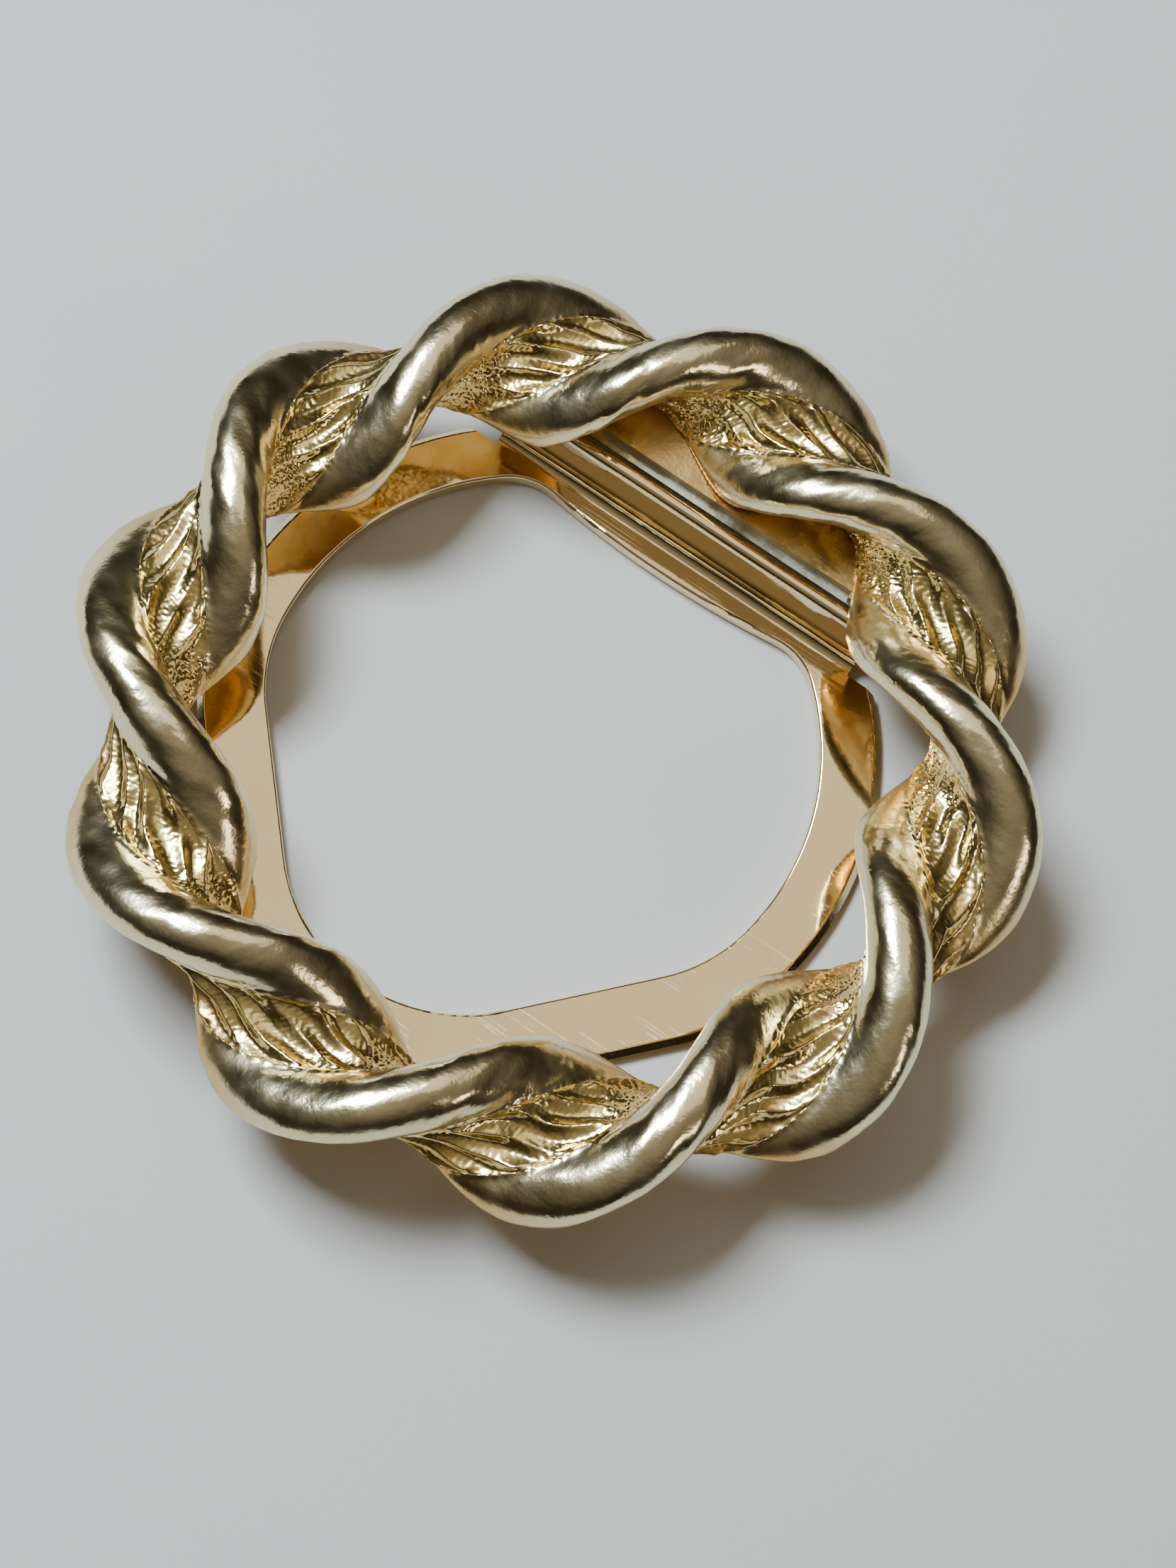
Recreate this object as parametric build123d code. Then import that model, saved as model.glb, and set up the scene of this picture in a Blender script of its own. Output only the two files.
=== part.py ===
from build123d import *
import math
import os

# Scarf ring clip: a cast two-strand twisted ring carries, on its back, a sheet-metal
# cradle in which an open back plate swings on a pin against a leaf spring.
# Frame: millimetres, +Z out of the decorative front, Z = 0 on the plate's resting face,
# Z axis on the twisted ring's own axis, hinge on the +Y side with its pin along X.

# --- twisted ring casting ---
RING_RADIUS = 18.3            # centreline of the twist
OVERALL_DIAMETER = 45.0       # over the lobes
STRAND_RADIUS = 1.75          # round part of each strand
WEB_HALF_THICKNESS = 1.53     # crevice floor between the two strands
TWIST_TURNS = 5               # full turns of the two-strand rope round the ring
LOBE_AZIMUTH = 15.8           # one strand lies outermost here, in degrees from +X
FLATTENING = 0.8              # the rope is lower than it is wide
RING_MID_Z = 5.4              # height of the rope's centreline
RING_BACK_Z = 4.4             # flat back of the casting
SECTIONS_PER_LOBE = 6         # loft sections between neighbouring lobes

# --- back plate (one stamped sheet) ---
SHEET = 0.8
EDGE_BREAK = 0.15             # tumbled edges of the stamping
BACK_SHIFT_X = -1.1           # the plate and its hinge sit a little off the ring's axis
PLATE_CENTRE_Y = 0.9
HOLE_RADIUS = 13.1
HOLE_FLANK_DISTANCE = 12.3    # centre to the straight flanks that close towards the tip
HOLE_TIP_RADIUS = 8.2
BAND_WIDTH = 2.85
FLANK_BAND_WIDTH = 3.2        # the band widens a little along its flanks
OUTER_BEVEL = 0.3             # coined outer edge of the plate's front
FLANK_ANGLE = 48.0            # flank normal, measured from the tip direction
FLANK_BLEND_RADIUS = 8.0
HOLE_CHORD_DISTANCE = 10.1    # centre to the hinge side of the hole
CHORD_BOW_RADIUS = 50.0       # the hinge side bows slightly into the hole
CHORD_CORNER_RADIUS = 3.0

# --- bent-up hinge wall of the back plate ---
WALL_FRONT_Y = 12.6
WALL_HALF_WIDTH = 10.0
WALL_TOP_Z = 4.25
BEND_INNER_RADIUS = 0.6
BEND_OUTER_RADIUS = 1.2
WALL_TOP_ROUNDING = 0.35

# --- pivot ---
PIN_Y = 15.0
PIN_Z = 2.05
PIN_RADIUS = 0.6
PIN_RUNNING_CLEARANCE = 0.05
EAR_FLAT_DISTANCE = 1.35      # pin axis to the ear's closed flat and open flat
EAR_CORNER_RADIUS = 1.0
EAR_BOTTOM_Z = 0.75

# --- cradle, leaf spring and rivets ---
CRADLE_SHEET = 0.5
CRADLE_SIDE_GAP = 0.2
CRADLE_EAR_RADIUS = 1.3
CRADLE_ARM_WIDTH = 2.5
CRADLE_BASE_FRONT_Y = 14.05
CRADLE_BASE_REAR_Y = 21.0
CRADLE_TRIM_RADIUS = 20.2     # rounds the base off so that it stays hidden behind the ring
SPRING_SHEET = 0.3
SPRING_FRONT_Y = 13.6
SPRING_BAR_REAR_Y = 16.35
SPRING_ROOT_REAR_Y = 19.9
SPRING_ROOT_WIDTH = 7.0
SPRING_ROOT_CORNER_RADIUS = 1.0
SPRING_RIVET_Y = 18.5
CRADLE_RIVET_SPACING = 12.0
CRADLE_RIVET_Y = 17.7
RIVET_RADIUS = 0.6
RIVET_HEAD_RADIUS = 1.15
RIVET_HEAD_HEIGHT = 0.45
RIVET_DEPTH = 1.1             # into the casting
PIN_HEAD_RADIUS = 0.95
PIN_HEAD_HEIGHT = 0.4

CUT_REACH = 30.0              # long enough to cut right through any of the pieces

WALL_BACK_Y = WALL_FRONT_Y + SHEET
BEND_RELIEF_Y = WALL_FRONT_Y - BEND_INNER_RADIUS - 0.1
EAR_OUTER_X = WALL_HALF_WIDTH
EAR_INNER_X = WALL_HALF_WIDTH - SHEET
CRADLE_EAR_INNER_X = WALL_HALF_WIDTH + CRADLE_SIDE_GAP
CRADLE_EAR_OUTER_X = CRADLE_EAR_INNER_X + CRADLE_SHEET
CRADLE_BOTTOM_Z = RING_BACK_Z - CRADLE_SHEET
SPRING_BOTTOM_Z = CRADLE_BOTTOM_Z - SPRING_SHEET


def box_between(low, high):
    """A box from its lowest to its highest corner."""
    size = [high[i] - low[i] for i in range(3)]
    middle = [(high[i] + low[i]) / 2 for i in range(3)]
    return Pos(*middle) * Box(*size)


def rope_section(azimuth, twist):
    """Cross-section of the two-strand rope: two round strands joined by a web."""
    offset = OVERALL_DIAMETER / 2 - RING_RADIUS - STRAND_RADIUS
    bite = math.sqrt(STRAND_RADIUS ** 2 - WEB_HALF_THICKNESS ** 2)
    x = offset - bite
    y = WEB_HALF_THICKNESS
    tip = offset + STRAND_RADIUS
    outline = Wire([
        Edge.make_three_point_arc((x, -y), (tip, 0), (x, y)),
        Edge.make_line((x, y), (-x, y)),
        Edge.make_three_point_arc((-x, y), (-tip, 0), (-x, -y)),
        Edge.make_line((-x, -y), (x, -y)),
    ])
    a = math.radians(azimuth)
    t = math.radians(twist)
    centre = (RING_RADIUS * math.cos(a), RING_RADIUS * math.sin(a), 0)
    along = (math.cos(t) * math.cos(a), math.cos(t) * math.sin(a), math.sin(t))
    tangent = (math.sin(a), -math.cos(a), 0)
    return Plane(origin=centre, x_dir=along, z_dir=tangent) * outline


def half_rope(start_azimuth):
    """Half of the twisted ring, lofted through rotated sections."""
    count = TWIST_TURNS * SECTIONS_PER_LOBE
    sections = []
    for i in range(count + 1):
        azimuth = start_azimuth + 180 * i / count
        sections.append(rope_section(azimuth, TWIST_TURNS * (azimuth - LOBE_AZIMUTH)))
    return Solid.make_loft(sections)


def ring_casting():
    rope = half_rope(0) + half_rope(180)
    flattened = scale(rope, by=(1, 1, FLATTENING))
    casting = Pos(0, 0, RING_MID_Z) * flattened
    casting -= box_between((-CUT_REACH, -CUT_REACH, -CUT_REACH), (CUT_REACH, CUT_REACH, RING_BACK_Z))
    for x, y in cradle_rivet_places() + [(BACK_SHIFT_X, SPRING_RIVET_Y)]:
        hole = Cylinder(RIVET_RADIUS, RIVET_DEPTH, align=(Align.CENTER, Align.CENTER, Align.MIN))
        casting -= Pos(x, y, RING_BACK_Z) * hole
    return casting


def cradle_rivet_places():
    return [(BACK_SHIFT_X + side * CRADLE_RIVET_SPACING / 2, CRADLE_RIVET_Y) for side in (-1, 1)]


def loop_outline(radius, flank_distance, tip_radius):
    """Round outline whose two straight flanks close to a rounded tip on the -Y side."""
    angle = math.radians(FLANK_ANGLE)
    apex = (0, -flank_distance / math.cos(angle))
    foot = (flank_distance * math.sin(angle), -flank_distance * math.cos(angle))
    kite = make_face(Polyline((0, 0), foot, apex, (-foot[0], foot[1]), close=True))
    side = 2 * radius
    wedge_end = (side * math.cos(angle), apex[1] + side * math.sin(angle))
    top = (0, 3 * radius)
    wedge = make_face(Polyline(apex, wedge_end, top, (-wedge_end[0], wedge_end[1]), close=True))
    outline = (Circle(radius) & wedge) + kite
    ordered = outline.vertices().sort_by(Axis.Y)
    outline = fillet(ordered[0], tip_radius)
    flank_ends = [v for v in outline.vertices() if abs(v.X) > foot[0]]
    return fillet(flank_ends, FLANK_BLEND_RADIUS)


def plate_hole():
    hole = loop_outline(HOLE_RADIUS, HOLE_FLANK_DISTANCE, HOLE_TIP_RADIUS)
    hole -= Pos(0, HOLE_CHORD_DISTANCE + CHORD_BOW_RADIUS) * Circle(CHORD_BOW_RADIUS)
    corners = hole.vertices().sort_by(Axis.Y)[-2:]
    return fillet(corners, CHORD_CORNER_RADIUS)


def plate_blank():
    """Flat loop of sheet before its hole is cut, with a straight strip that leads to the wall."""
    outer = loop_outline(
        HOLE_RADIUS + BAND_WIDTH,
        HOLE_FLANK_DISTANCE + FLANK_BAND_WIDTH,
        HOLE_TIP_RADIUS + FLANK_BAND_WIDTH,
    )
    blank = extrude(Pos(0, PLATE_CENTRE_Y) * outer, SHEET)
    blank = chamfer(blank.faces().sort_by(Axis.Z)[-1].edges(), OUTER_BEVEL)
    blank = fillet(blank.faces().sort_by(Axis.Z)[0].edges(), EDGE_BREAK)
    blank -= box_between((-CUT_REACH, BEND_RELIEF_Y, -CUT_REACH), (CUT_REACH, CUT_REACH, CUT_REACH))
    strip_start_y = BEND_RELIEF_Y - SHEET
    return blank + box_between((-WALL_HALF_WIDTH, strip_start_y, 0), (WALL_HALF_WIDTH, WALL_BACK_Y, SHEET))


def back_plate():
    """Open plate with its bent-up hinge wall and two pivot ears, all one sheet."""
    plate = plate_blank()
    plate += box_between((-WALL_HALF_WIDTH, WALL_FRONT_Y, 0), (WALL_HALF_WIDTH, WALL_BACK_Y, WALL_TOP_Z))
    for side in (-1, 1):
        plate += plate_ear(side)
    outer_bend = [e for e in plate.edges().filter_by(Axis.X) if on_line(e, WALL_BACK_Y, 0)]
    plate = fillet(outer_bend, BEND_OUTER_RADIUS)
    inner_bend = [e for e in plate.edges().filter_by(Axis.X) if on_line(e, WALL_FRONT_Y, SHEET)]
    plate = fillet(inner_bend, BEND_INNER_RADIUS)
    top_rims = [e for e in plate.edges().filter_by(Axis.X) if abs(e.center().Z - WALL_TOP_Z) < 0.01]
    plate = fillet(top_rims, WALL_TOP_ROUNDING)
    opening = extrude(Pos(0, PLATE_CENTRE_Y, -SHEET) * plate_hole(), 3 * SHEET)
    plate -= opening
    reach = opening.bounding_box()
    hole_rims = [
        e for e in level_edges(plate)
        if e.bounding_box().max.Y < reach.max.Y + 0.01
        and e.bounding_box().min.Y > reach.min.Y - 0.01
        and e.bounding_box().max.X < reach.max.X + 0.01
        and e.bounding_box().min.X > reach.min.X - 0.01
    ]
    plate = fillet(hole_rims, EDGE_BREAK)
    pin_hole = Cylinder(PIN_RADIUS + PIN_RUNNING_CLEARANCE, CUT_REACH, rotation=(0, 90, 0))
    plate -= Pos(0, PIN_Y, PIN_Z) * pin_hole
    return Pos(BACK_SHIFT_X, 0, 0) * plate


def level_edges(solid):
    """Edges that lie flat in one horizontal plane."""
    return [e for e in solid.edges() if e.bounding_box().size.Z < 0.01]


def on_line(edge, y, z):
    """True for an edge whose middle lies on the line at the given Y and Z."""
    middle = edge.center()
    return abs(middle.Y - y) < 0.01 and abs(middle.Z - z) < 0.01


def plate_ear(side):
    """Pivot ear bent back from the end of the hinge wall, with its two cam flats."""
    rear = PIN_Y + EAR_FLAT_DISTANCE
    top = PIN_Z + EAR_FLAT_DISTANCE
    low = (EAR_INNER_X, WALL_FRONT_Y, EAR_BOTTOM_Z)
    ear = box_between(low, (EAR_OUTER_X, rear, top))
    rear_edges = [e for e in ear.edges().filter_by(Axis.X) if abs(e.center().Y - rear) < 0.01]
    ear = fillet(rear_edges, EAR_CORNER_RADIUS)
    if side < 0:
        ear = mirror(ear, about=Plane.YZ)
    return ear


def hinge_cradle():
    """Sheet bracket under the ring: a trimmed base, two arms, and two ears bent down."""
    ear_front = PIN_Y - CRADLE_EAR_RADIUS
    ear_rear = PIN_Y + CRADLE_EAR_RADIUS
    outer_x = CRADLE_EAR_OUTER_X
    cradle = box_between(
        (-outer_x, CRADLE_BASE_FRONT_Y, CRADLE_BOTTOM_Z), (outer_x, CRADLE_BASE_REAR_Y, RING_BACK_Z)
    )
    for side in (-1, 1):
        arm_x = sorted((side * outer_x, side * (outer_x - CRADLE_ARM_WIDTH)))
        cradle += box_between(
            (arm_x[0], ear_front, CRADLE_BOTTOM_Z), (arm_x[1], CRADLE_BASE_FRONT_Y, RING_BACK_Z)
        )
        ear_x = sorted((side * CRADLE_EAR_INNER_X, side * outer_x))
        cradle += box_between((ear_x[0], ear_front, PIN_Z), (ear_x[1], ear_rear, RING_BACK_Z))
        middle_x = side * (CRADLE_EAR_INNER_X + outer_x) / 2
        ear_end = Cylinder(CRADLE_EAR_RADIUS, CRADLE_SHEET, rotation=(0, 90, 0))
        cradle += Pos(middle_x, PIN_Y, PIN_Z) * ear_end
    pin_hole = Cylinder(PIN_RADIUS, CUT_REACH, rotation=(0, 90, 0))
    cradle -= Pos(0, PIN_Y, PIN_Z) * pin_hole
    cradle = Pos(BACK_SHIFT_X, 0, 0) * cradle
    cradle &= Cylinder(CRADLE_TRIM_RADIUS, CUT_REACH)
    for x, y in cradle_rivet_places() + [(BACK_SHIFT_X, SPRING_RIVET_Y)]:
        cradle -= Pos(x, y, RING_BACK_Z) * Cylinder(RIVET_RADIUS, 4 * CRADLE_SHEET)
    return cradle


def leaf_spring():
    """Tee-shaped leaf: its bar bears on both ears of the back plate."""
    bar = box_between(
        (-WALL_HALF_WIDTH, SPRING_FRONT_Y, SPRING_BOTTOM_Z),
        (WALL_HALF_WIDTH, SPRING_BAR_REAR_Y, CRADLE_BOTTOM_Z),
    )
    half_root = SPRING_ROOT_WIDTH / 2
    root = box_between(
        (-half_root, SPRING_BAR_REAR_Y, SPRING_BOTTOM_Z),
        (half_root, SPRING_ROOT_REAR_Y, CRADLE_BOTTOM_Z),
    )
    leaf = bar + root
    rear_corners = [e for e in leaf.edges().filter_by(Axis.Z) if e.center().Y > SPRING_ROOT_REAR_Y - 0.01]
    leaf = fillet(rear_corners, SPRING_ROOT_CORNER_RADIUS)
    leaf -= Pos(0, SPRING_RIVET_Y, SPRING_BOTTOM_Z) * Cylinder(RIVET_RADIUS, 4 * SPRING_SHEET)
    return Pos(BACK_SHIFT_X, 0, 0) * leaf


def rivet(under_head_z):
    """Drive rivet: domed head below, shank up to the bottom of its blind hole."""
    top_z = RING_BACK_Z + RIVET_DEPTH
    shank = upright_cylinder(RIVET_RADIUS, under_head_z, top_z)
    head = upright_cylinder(RIVET_HEAD_RADIUS, under_head_z - RIVET_HEAD_HEIGHT, under_head_z)
    lower_rim = head.edges().sort_by(Axis.Z)[0]
    return shank + fillet(lower_rim, RIVET_HEAD_HEIGHT * 0.8)


def upright_cylinder(radius, low_z, high_z):
    """A vertical cylinder between two heights."""
    return Pos(0, 0, (low_z + high_z) / 2) * Cylinder(radius, high_z - low_z)


def cradle_rivets():
    return Compound(children=[Pos(x, y, 0) * rivet(CRADLE_BOTTOM_Z) for x, y in cradle_rivet_places()])


def spring_rivet():
    return Pos(BACK_SHIFT_X, SPRING_RIVET_Y, 0) * rivet(SPRING_BOTTOM_Z)


def hinge_pin():
    """Pin pressed in the cradle's ears, with a peened head at each end."""
    pin = Cylinder(PIN_RADIUS, 2 * CRADLE_EAR_OUTER_X, rotation=(0, 90, 0))
    for side in (-1, 1):
        head = Cylinder(PIN_HEAD_RADIUS, PIN_HEAD_HEIGHT, rotation=(0, 90, 0))
        head = Pos(side * (CRADLE_EAR_OUTER_X + PIN_HEAD_HEIGHT / 2), 0, 0) * head
        rims = head.edges().filter_by(GeomType.CIRCLE).sort_by(Axis.X)
        outer_rim = rims[-1] if side > 0 else rims[0]
        pin += fillet(outer_rim, PIN_HEAD_HEIGHT * 0.7)
    return Pos(BACK_SHIFT_X, PIN_Y, PIN_Z) * pin


PARTS = {
    "ring_casting": ring_casting,
    "back_plate": back_plate,
    "hinge_cradle": hinge_cradle,
    "leaf_spring": leaf_spring,
    "cradle_rivets": cradle_rivets,
    "spring_rivet": spring_rivet,
    "hinge_pin": hinge_pin,
}

os.makedirs("parts", exist_ok=True)
for name, make in PARTS.items():
    export_step(make(), f"parts/{name}.step")
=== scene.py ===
import math

import bpy
import numpy as np
from mathutils import Matrix, Vector


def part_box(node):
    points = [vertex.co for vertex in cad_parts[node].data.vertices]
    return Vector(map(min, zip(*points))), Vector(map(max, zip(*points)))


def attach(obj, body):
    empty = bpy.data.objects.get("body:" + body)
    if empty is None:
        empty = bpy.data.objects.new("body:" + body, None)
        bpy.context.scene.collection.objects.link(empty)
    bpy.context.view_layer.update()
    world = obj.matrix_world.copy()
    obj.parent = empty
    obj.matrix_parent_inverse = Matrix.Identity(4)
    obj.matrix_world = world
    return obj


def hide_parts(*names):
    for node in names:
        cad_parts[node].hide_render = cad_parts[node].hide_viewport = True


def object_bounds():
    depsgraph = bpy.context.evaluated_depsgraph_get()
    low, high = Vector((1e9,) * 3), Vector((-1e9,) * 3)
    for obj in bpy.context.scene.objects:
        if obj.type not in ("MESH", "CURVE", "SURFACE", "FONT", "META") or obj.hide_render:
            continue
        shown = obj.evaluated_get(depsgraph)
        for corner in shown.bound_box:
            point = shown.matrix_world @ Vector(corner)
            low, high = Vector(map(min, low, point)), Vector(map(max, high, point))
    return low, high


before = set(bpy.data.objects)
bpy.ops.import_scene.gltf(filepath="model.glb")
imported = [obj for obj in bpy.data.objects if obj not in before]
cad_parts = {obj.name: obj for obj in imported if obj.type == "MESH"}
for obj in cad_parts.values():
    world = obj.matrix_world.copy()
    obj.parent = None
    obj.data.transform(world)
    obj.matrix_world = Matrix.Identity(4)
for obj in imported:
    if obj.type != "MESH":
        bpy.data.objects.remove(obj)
cad_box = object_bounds()

MM = 0.001
RANDOM_SEED = 11

# Twisted ring, in millimetres. Its outer size and heights come from the frame.
RING_RADIUS = 18.3
STRAND_RADIUS = 1.75
TWIST_TURNS = 5
LOBE_AZIMUTH = math.radians(15.8)
FLATTENING = 0.8
RING_MID_Z = 5.4
BACK_EDGE_ROUNDING = 0.12    # softness of the edge round the flat back, as a share of the ray
SIZE_WOBBLE = 0.006          # the rope's thickness varies by about this share
TWIST_WOBBLE = 0.05          # radians by which the twist runs ahead or behind
UNDERSIDE_DEPTH = 2.0        # the dull back and its painted shade fade into the polished flanks over this height

# Woven crevice between the strands, in millimetres
WEB_HALF_THICKNESS = 1.53
CREVICE_SINK = 0.30
CREVICE_BLEND = 0.3          # the crevice's colour fades out over this width
RIB_COUNT = 58
RIB_ACROSS = 5.2             # radians of rib phase per millimetre across the crevice
RIB_HEIGHT = 0.40
RIB_LEAN = 0.35              # radians by which a rib's crest leans to one side
RIB_SHARPNESS = 0.96         # 1 gives ribs with a sharp crest and floor
RIB_WARP = 0.55              # radians of rib phase, wandering over RIB_WARP_CELL
RIB_WARP_CELL = 3.2
RIB_FADE = 5.0               # the ribs reach full height a fifth of the way in from a border
RIB_VARIATION = 0.22         # share of the rib height, varying over RIB_VARIATION_CELL
RIB_VARIATION_CELL = 2.2
INNER_RIB_LOSS = 0.8         # share of the rib height lost at a crevice's inner end
BORDER_HEIGHT = 0.11
BORDER_HALF_WIDTH = 0.15
BEAD_COUNT = 210
BEAD_DEPTH = 0.22            # share of the border's height by which the beads rise and fall
BEAD_STAGGER = 1.5           # radians between the beads of a crevice's two borders
BEAD_WARP = 1.6
BEAD_WARP_CELL = 1.0
GRAIN_CELL = 0.24
GRAIN_HEIGHT = 0.008
INNER_GRAIN_HEIGHT = 0.030   # a crevice ends in plain grain where it turns to the ring's inside
INNER_END = (0.50, 0.80)     # inward share of the crevice's normal over which that happens

# Cast unevenness of the polished strands, in millimetres
LUMP_CELL = 2.0
LUMP_HEIGHT = 0.018
RIPPLE_CELL = 0.55
RIPPLE_HEIGHT = 0.003
LUMP_FADE = 0.5              # the unevenness grows from nothing over this distance past a border
STRAND_SPACING = 6.0         # keeps the two strands' unevenness apart

STRAND_LIGHT = (0.90, 0.78, 0.50, 1)
STRAND_DEEP = (0.85, 0.71, 0.42, 1)
CREVICE_GOLD = (0.95, 0.71, 0.26, 1)
# painted shade: orange-brown for the ring's underside, standing in for shade and light reflected up from
# the plate
UNDERSIDE_SHADE_GOLD = (0.66, 0.38, 0.10, 1)

AROUND_STEPS = 1800
WEB_STEPS = 56
STRAND_STEPS = 40

FLOOR_LIGHT = (0.58, 0.56, 0.525, 1)
FLOOR_DEEP = (0.54, 0.52, 0.49, 1)
FLOOR_GAP = 0.02             # millimetres under the resting face

# Room light by the height of the direction it comes from: 0 is level, 1 is straight up
ROOM_TONES = (
    (0.0, (0.018, 0.014, 0.010)),
    (0.45, (0.03, 0.025, 0.018)),
    (0.75, (0.14, 0.128, 0.10)),
    (0.95, (0.28, 0.255, 0.20)),
)

# View: the ring's centre is seen from this tilt and azimuth, at this distance
VIEW_TILT = math.radians(20.0)
VIEW_AZIMUTH = math.radians(290.4)
VIEW_ROLL = math.radians(35.0)
VIEW_DISTANCE = 0.160
LENS = 81.9
SENSOR = 36.0
SHIFT = (0.0200, -0.0332)


def wobble(theta, random, waves, strength):
    """A smooth periodic unevenness along the ring, about +-strength."""
    total = np.zeros_like(theta)
    for k in waves:
        total += random.normal() * np.cos(k * theta + random.uniform(0, 2 * math.pi))
    return strength * total / math.sqrt(len(waves))


def unevenness(theta, across, random, terms, cell, strength):
    """Smooth two-way unevenness whose finest bumps are about cell millimetres wide."""
    total = np.zeros(np.broadcast_shapes(theta.shape, across.shape))
    top = 2 * math.pi * RING_RADIUS / cell
    for _ in range(terms):
        k = int(random.uniform(0.25, 1.0) * top) * random.choice((-1, 1))
        m = random.uniform(-1, 1) * 2 * math.pi / cell
        total += np.cos(k * theta + m * across + random.uniform(0, 2 * math.pi))
    return strength * total / math.sqrt(terms / 2)


def outline_samples(offset):
    """Points, normals and texture coordinate round one rope section, before twisting.

    The second half repeats the first by a half turn. q runs across a crevice, positive
    outwards when that crevice faces up; on a strand it is the distance past the border.
    """
    web_half = offset - math.sqrt(STRAND_RADIUS ** 2 - WEB_HALF_THICKNESS ** 2)
    arc_end = math.pi - math.asin(WEB_HALF_THICKNESS / STRAND_RADIUS)
    share = np.linspace(-1, 1, STRAND_STEPS, endpoint=False)
    angle = arc_end * np.sin(share * math.pi / 2)
    strand = {
        "x": offset + STRAND_RADIUS * np.cos(angle),
        "y": STRAND_RADIUS * np.sin(angle),
        "nx": np.cos(angle),
        "ny": np.sin(angle),
        "past": STRAND_RADIUS * (arc_end - np.abs(angle)),
        "q": np.zeros_like(angle),
    }
    q = np.linspace(web_half, -web_half, WEB_STEPS, endpoint=False)
    web = {
        "x": q,
        "y": np.full_like(q, WEB_HALF_THICKNESS),
        "nx": np.zeros_like(q),
        "ny": np.ones_like(q),
        "past": np.abs(q) - web_half,
        "q": q,
    }
    half = {key: np.concatenate((strand[key], web[key])) for key in strand}
    turned = {key: -half[key] if key in ("x", "y", "nx", "ny") else half[key] for key in half}
    full = {key: np.concatenate((half[key], turned[key])) for key in half}
    return full, web_half


def ring_surface():
    """Vertices of the twisted ring as an (around, across, xyz) array, and two masks:
    one for the crevices and one for the dull underside, which also carries painted shade.
    """
    random = np.random.default_rng(RANDOM_SEED)
    low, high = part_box("ring_casting")
    outer = (high.y - low.y) / 2 / MM
    back_z = low.z / MM - RING_MID_Z
    offset = outer - RING_RADIUS - STRAND_RADIUS
    s, web_half = outline_samples(offset)
    theta = np.linspace(0, 2 * math.pi, AROUND_STEPS, endpoint=False)[:, None]
    q, past = s["q"][None, :], s["past"][None, :]
    in_web = past < 0
    edge = np.clip(-past / web_half, 0, 1)
    size = 1 + wobble(theta, random, (3, 4, 7, 9), SIZE_WOBBLE)
    twist = TWIST_TURNS * (theta - LOBE_AZIMUTH) + wobble(theta, random, (2, 3, 5, 8), TWIST_WOBBLE)
    inward = s["ny"][None, :] * np.sin(twist) - s["nx"][None, :] * np.cos(twist)
    inner_end = np.clip((inward - INNER_END[0]) / (INNER_END[1] - INNER_END[0]), 0, 1)

    lift = np.where(in_web, -CREVICE_SINK * (1 - (1 - edge) ** 4), 0.0)
    warp = unevenness(theta, q, random, 14, RIB_WARP_CELL, RIB_WARP)
    phase = RIB_COUNT * theta - RIB_ACROSS * q + warp
    rib = 0.5 + np.arcsin(RIB_SHARPNESS * np.cos(phase + RIB_LEAN * np.sin(phase))) / math.pi
    rib_strength = 1 + unevenness(theta, q, random, 12, RIB_VARIATION_CELL, RIB_VARIATION)
    rib_mask = np.where(in_web, np.clip(edge * RIB_FADE, 0, 1), 0.0)
    lift = lift + RIB_HEIGHT * rib * rib_strength * rib_mask * (1 - INNER_RIB_LOSS * inner_end)
    grain_height = GRAIN_HEIGHT + (INNER_GRAIN_HEIGHT - GRAIN_HEIGHT) * inner_end
    lift = lift + rib_mask * unevenness(theta, q, random, 24, GRAIN_CELL, grain_height)

    bead_warp = unevenness(theta, q, random, 14, BEAD_WARP_CELL, BEAD_WARP)
    bead_wave = np.cos(BEAD_COUNT * theta + BEAD_STAGGER * np.sign(q) + bead_warp)
    bead = 1 - BEAD_DEPTH + BEAD_DEPTH * bead_wave
    lift = lift + BORDER_HEIGHT * bead * np.exp(-((past / BORDER_HALF_WIDTH) ** 2))

    smooth = np.clip(past / LUMP_FADE, 0, 1)
    second_strand = np.arange(past.shape[1])[None, :] > past.shape[1] // 2
    along_strand = past + STRAND_SPACING * second_strand
    lift = lift + smooth * unevenness(theta, along_strand, random, 26, LUMP_CELL, LUMP_HEIGHT)
    lift = lift + smooth * unevenness(theta, along_strand, random, 30, RIPPLE_CELL, RIPPLE_HEIGHT)

    x = s["x"][None, :] + lift * s["nx"][None, :]
    y = s["y"][None, :] + lift * s["ny"][None, :]
    u = size * (x * np.cos(twist) - y * np.sin(twist))
    z = size * FLATTENING * (x * np.sin(twist) + y * np.cos(twist))

    # The back is cut flat: points below it slide along their own ray up to the plane.
    below = np.maximum(back_z / np.minimum(z, -1e-3), 0)
    soft = -BACK_EDGE_ROUNDING * np.log(
        np.exp(-np.minimum(below, 4) / BACK_EDGE_ROUNDING) + math.exp(-1 / BACK_EDGE_ROUNDING)
    )
    keep = np.where(z < 0, np.clip(soft, 0, 1), 1.0)
    u, z = u * keep, z * keep
    z = np.maximum(z, back_z)
    radius = RING_RADIUS + u
    points = np.stack((radius * np.cos(theta), radius * np.sin(theta), RING_MID_Z + z), axis=-1)
    masks = {
        "crevice": np.broadcast_to(np.clip(0.5 - past / CREVICE_BLEND, 0, 1), z.shape),
        # painted shade: the underside mask rises towards the flat back
        "underside": np.clip((UNDERSIDE_DEPTH - (z - back_z)) / UNDERSIDE_DEPTH, 0, 1),
    }
    return points * MM, masks


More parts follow.
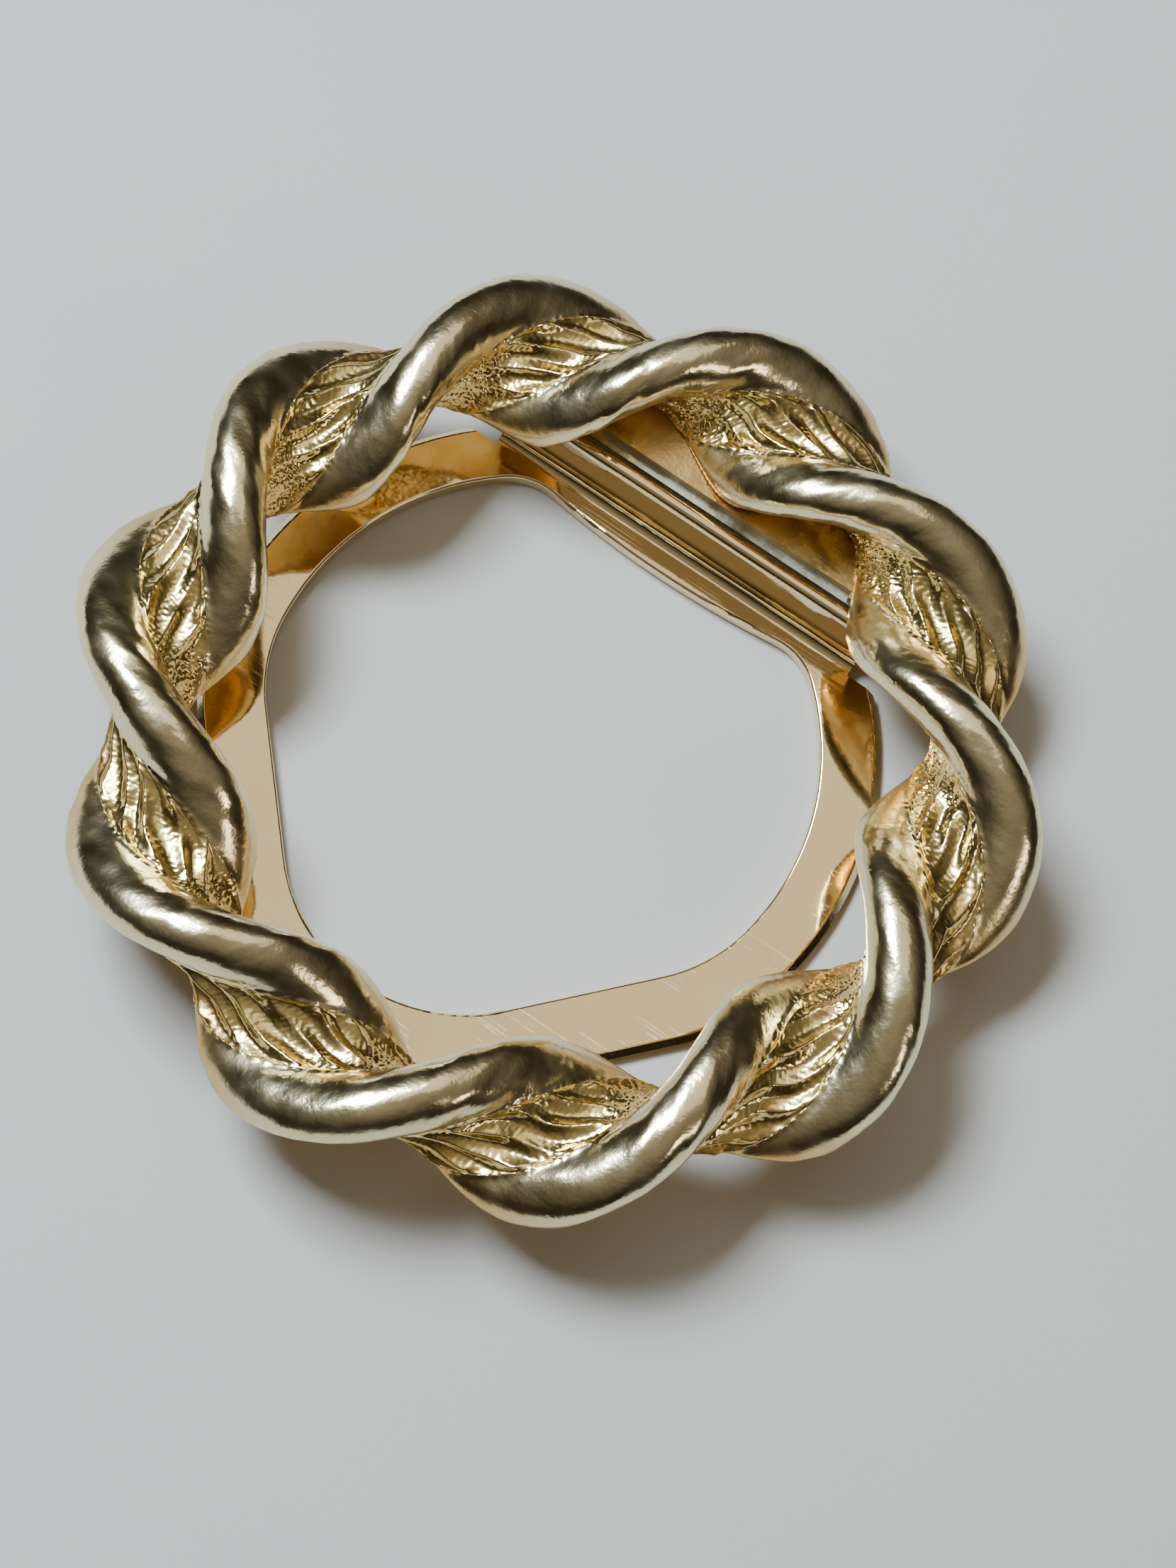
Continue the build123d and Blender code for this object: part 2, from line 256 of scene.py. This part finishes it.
def closed_grid_faces(rows, columns):
    """Quads of a grid that closes on itself both ways."""
    i, j = np.meshgrid(np.arange(rows), np.arange(columns), indexing="ij")
    i2, j2 = (i + 1) % rows, (j + 1) % columns
    corners = (i * columns + j, i2 * columns + j, i2 * columns + j2, i * columns + j2)
    return np.stack(corners, axis=-1).reshape(-1, 4)


def mesh_object(name, points, faces):
    mesh = bpy.data.meshes.new(name)
    mesh.vertices.add(len(points))
    mesh.vertices.foreach_set("co", points.astype(np.float32).ravel())
    mesh.loops.add(faces.size)
    mesh.loops.foreach_set("vertex_index", faces.astype(np.int32).ravel())
    mesh.polygons.add(len(faces))
    mesh.polygons.foreach_set("loop_start", np.arange(0, faces.size, 4, dtype=np.int32))
    mesh.update(calc_edges=True)
    mesh.validate()
    mesh.polygons.foreach_set("use_smooth", np.ones(len(faces), bool))
    piece = bpy.data.objects.new(name, mesh)
    bpy.context.scene.collection.objects.link(piece)
    return piece


def build_ring(finish):
    points, masks = ring_surface()
    rows, columns = points.shape[:2]
    ring = mesh_object("twisted_ring", points.reshape(-1, 3), closed_grid_faces(rows, columns))
    for name, mask in masks.items():
        attribute = ring.data.attributes.new(name, "FLOAT", "POINT")
        attribute.data.foreach_set("value", mask.astype(np.float32).ravel())
    ring.data.materials.append(finish.material)
    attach(ring, "clip_front")
    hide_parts("ring_casting")


class Nodes:
    """Short calls for building one material's node tree. Noise scales are per metre."""

    def __init__(self, name):
        self.material = bpy.data.materials.new(name)
        self.material.use_nodes = True
        self.tree = self.material.node_tree
        self.surface = self.tree.nodes["Principled BSDF"]
        self.place = self.add("ShaderNodeTexCoord").outputs["Object"]

    def add(self, kind, **values):
        node = self.tree.nodes.new(kind)
        for key, value in values.items():
            setattr(node, key, value)
        return node

    def feed(self, target, value):
        if isinstance(value, bpy.types.NodeSocket):
            self.tree.links.new(value, target)
        else:
            target.default_value = value

    def math(self, operation, a, b=0.0):
        node = self.add("ShaderNodeMath", operation=operation)
        self.feed(node.inputs[0], a)
        self.feed(node.inputs[1], b)
        return node.outputs[0]

    def stretched(self, scale, turn=0.0):
        node = self.add("ShaderNodeMapping")
        self.feed(node.inputs["Vector"], self.place)
        node.inputs["Scale"].default_value = scale
        node.inputs["Rotation"].default_value = (0, 0, turn)
        return node.outputs[0]

    def noise(self, scale, detail=3.0, vector=None):
        node = self.add("ShaderNodeTexNoise")
        self.feed(node.inputs["Vector"], self.place if vector is None else vector)
        node.inputs["Scale"].default_value = scale
        node.inputs["Detail"].default_value = detail
        return node.outputs["Fac"]

    def ramp(self, value, low, high, out_low=0.0, out_high=1.0):
        node = self.add("ShaderNodeMapRange")
        self.feed(node.inputs["Value"], value)
        node.inputs["From Min"].default_value = low
        node.inputs["From Max"].default_value = high
        node.inputs["To Min"].default_value = out_low
        node.inputs["To Max"].default_value = out_high
        return node.outputs[0]

    def mix(self, share, a, b):
        node = self.add("ShaderNodeMix", data_type="RGBA")
        self.feed(node.inputs["Factor"], share)
        self.feed(node.inputs["A"], a)
        self.feed(node.inputs["B"], b)
        return node.outputs["Result"]

    def bump(self, height, distance, strength, normal=None):
        node = self.add("ShaderNodeBump")
        self.feed(node.inputs["Height"], height)
        node.inputs["Distance"].default_value = distance
        node.inputs["Strength"].default_value = strength
        if normal is not None:
            self.feed(node.inputs["Normal"], normal)
        return node.outputs["Normal"]

    def scratches(self, scale, turn, width):
        """Thin straight lines, as a 0 to 1 mask, running along one direction."""
        streak = self.noise(1.0, 2.0, self.stretched((scale * 0.02, scale, scale * 0.3), turn))
        return self.ramp(self.math("ABSOLUTE", self.math("SUBTRACT", streak, 0.5)), 0.0, width, 1.0, 0.0)


def metal(name, light, deep, roughness, peel, scratch):
    """Plated metal: uneven tone and polish, orange peel, pits and fine scratches."""
    n = Nodes(name)
    colour = n.mix(n.ramp(n.noise(260.0, 4.0), 0.35, 0.65), light, deep)
    polish = n.ramp(n.noise(700.0, 5.0), 0.3, 0.7, roughness * 0.7, roughness * 1.4)
    lines = n.math("MAXIMUM", n.scratches(3200.0, 0.5, 0.010), n.scratches(2600.0, -0.9, 0.008))
    lines = n.math("MULTIPLY", lines, n.ramp(n.noise(240.0, 2.0), 0.5, 0.66, 0.0, scratch))
    n.feed(n.surface.inputs["Base Color"], colour)
    n.feed(n.surface.inputs["Roughness"], n.math("ADD", polish, n.math("MULTIPLY", lines, 0.2)))
    n.surface.inputs["Metallic"].default_value = 1.0
    normal = n.bump(n.noise(1300.0, 3.0), 0.00012, peel)
    normal = n.bump(n.noise(5200.0, 2.0), 0.00003, peel, normal)
    normal = n.bump(n.math("SUBTRACT", 1.0, lines), 0.000004, 1.0, normal)
    n.feed(n.surface.inputs["Normal"], normal)
    return n


def casting_metal():
    """The ring's gold: polished strands, richer crevices and a dull back, darkened to a warmer
    orange-brown by painted shade.
    """
    n = metal("casting_gold", STRAND_LIGHT, STRAND_DEEP, roughness=0.18, peel=0.18, scratch=0.1)
    colour = n.surface.inputs["Base Color"].links[0].from_socket
    polish = n.surface.inputs["Roughness"].links[0].from_socket
    crevice = n.add("ShaderNodeAttribute", attribute_name="crevice").outputs["Fac"]
    underside = n.add("ShaderNodeAttribute", attribute_name="underside").outputs["Fac"]
    # painted shade: the underside gets a darker orange-brown colour for shade and reflected plate light;
    # it is also made rougher as a dull back
    dull_back_and_painted_shade = n.math("MULTIPLY", underside, n.ramp(n.noise(900.0, 4.0), 0.3, 0.6, 0.75, 1.0))
    colour = n.mix(n.math("MULTIPLY", crevice, 0.8), colour, CREVICE_GOLD)
    colour = n.mix(dull_back_and_painted_shade, colour, UNDERSIDE_SHADE_GOLD)
    n.feed(n.surface.inputs["Base Color"], colour)
    n.feed(n.surface.inputs["Roughness"], n.math("ADD", polish, n.math("MULTIPLY", dull_back_and_painted_shade, 0.12)))
    return n


def dress(node, finish):
    """Gives a CAD node its finish."""
    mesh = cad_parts[node].data
    mesh.materials.clear()
    mesh.materials.append(finish.material)


def build_floor():
    """Plain pale floor under the resting face."""
    low = cad_box[0]
    bpy.ops.mesh.primitive_plane_add(size=3.0, location=(0, 0, low[2] - FLOOR_GAP * MM))
    floor = bpy.context.object
    floor.name = "floor"
    n = Nodes("pale_floor")
    tone = n.mix(n.noise(40.0, 6.0), FLOOR_DEEP, FLOOR_LIGHT)
    n.feed(n.surface.inputs["Base Color"], tone)
    n.surface.inputs["Roughness"].default_value = 0.7
    floor.data.materials.append(n.material)


def direction(azimuth, elevation):
    flat = math.cos(elevation)
    return Vector((flat * math.cos(azimuth), flat * math.sin(azimuth), math.sin(elevation)))


def soft_light(name, azimuth, elevation, distance, size, power, colour):
    """Rectangular softbox aimed at the object's middle."""
    lamp = bpy.data.lights.new(name, "AREA")
    lamp.shape = "RECTANGLE"
    lamp.size, lamp.size_y = size
    lamp.energy = power
    lamp.color = colour
    holder = bpy.data.objects.new(name, lamp)
    way = direction(math.radians(azimuth), math.radians(elevation))
    holder.location = way * distance
    holder.rotation_euler = way.to_track_quat("Z", "Y").to_euler()
    bpy.context.scene.collection.objects.link(holder)


def build_lights():
    soft_light("window", azimuth=172, elevation=58, distance=0.50, size=(0.21, 0.16), power=4.9,
               colour=(0.77, 0.90, 1.0))
    soft_light("ceiling", azimuth=110, elevation=70, distance=0.80, size=(0.60, 0.50), power=0.7,
               colour=(1.0, 0.92, 0.80))
    soft_light("fill", azimuth=352, elevation=35, distance=0.70, size=(0.18, 0.08), power=0.35,
               colour=(1.0, 0.90, 0.75))


def build_world():
    """Dim room: beige overhead, darker towards the horizon."""
    world = bpy.data.worlds.new("room")
    bpy.context.scene.world = world
    world.use_nodes = True
    tree = world.node_tree
    back = tree.nodes["Background"]
    place = tree.nodes.new("ShaderNodeTexCoord")
    split = tree.nodes.new("ShaderNodeSeparateXYZ")
    ramp = tree.nodes.new("ShaderNodeValToRGB")
    tree.links.new(place.outputs["Generated"], split.inputs[0])
    tree.links.new(split.outputs["Z"], ramp.inputs[0])
    tree.links.new(ramp.outputs[0], back.inputs["Color"])
    while len(ramp.color_ramp.elements) < len(ROOM_TONES):
        ramp.color_ramp.elements.new(0.5)
    for element, (position, colour) in zip(ramp.color_ramp.elements, ROOM_TONES):
        element.position = position
        element.color = (*colour, 1)
    back.inputs["Strength"].default_value = 1.0


def build_camera():
    """Camera on the ring's centre, tilted and rolled, with the object left of the frame's middle."""
    camera = bpy.data.objects.new("camera", bpy.data.cameras.new("camera"))
    bpy.context.scene.collection.objects.link(camera)
    camera.data.sensor_width = SENSOR
    camera.data.lens = LENS
    camera.data.shift_x, camera.data.shift_y = SHIFT
    camera.data.clip_start = 0.005
    back = direction(VIEW_AZIMUTH, math.pi / 2 - VIEW_TILT)
    turn = Vector((0, 0, 1)).rotation_difference(back).to_matrix()
    pose = (turn @ Matrix.Rotation(VIEW_ROLL, 3, "Z")).to_4x4()
    pose.translation = Vector((0, 0, RING_MID_Z * MM)) + back * VIEW_DISTANCE
    camera.matrix_world = pose
    bpy.context.scene.camera = camera


mirror_gold = metal("mirror_gold", light=(0.88, 0.71, 0.42, 1), deep=(0.86, 0.68, 0.39, 1),
                    roughness=0.06, peel=0.015, scratch=0.3)
hardware_gold = metal("hardware_gold", light=(0.56, 0.38, 0.16, 1), deep=(0.44, 0.28, 0.10, 1),
                      roughness=0.28, peel=0.2, scratch=0.5)
spring_steel = metal("spring_steel", light=(0.62, 0.65, 0.54, 1), deep=(0.54, 0.57, 0.48, 1),
                     roughness=0.24, peel=0.1, scratch=0.5)

build_ring(casting_metal())
dress("back_plate", mirror_gold)
for node in ("hinge_cradle", "cradle_rivets", "spring_rivet", "hinge_pin"):
    dress(node, hardware_gold)
dress("leaf_spring", spring_steel)
build_floor()
build_lights()
build_world()
build_camera()
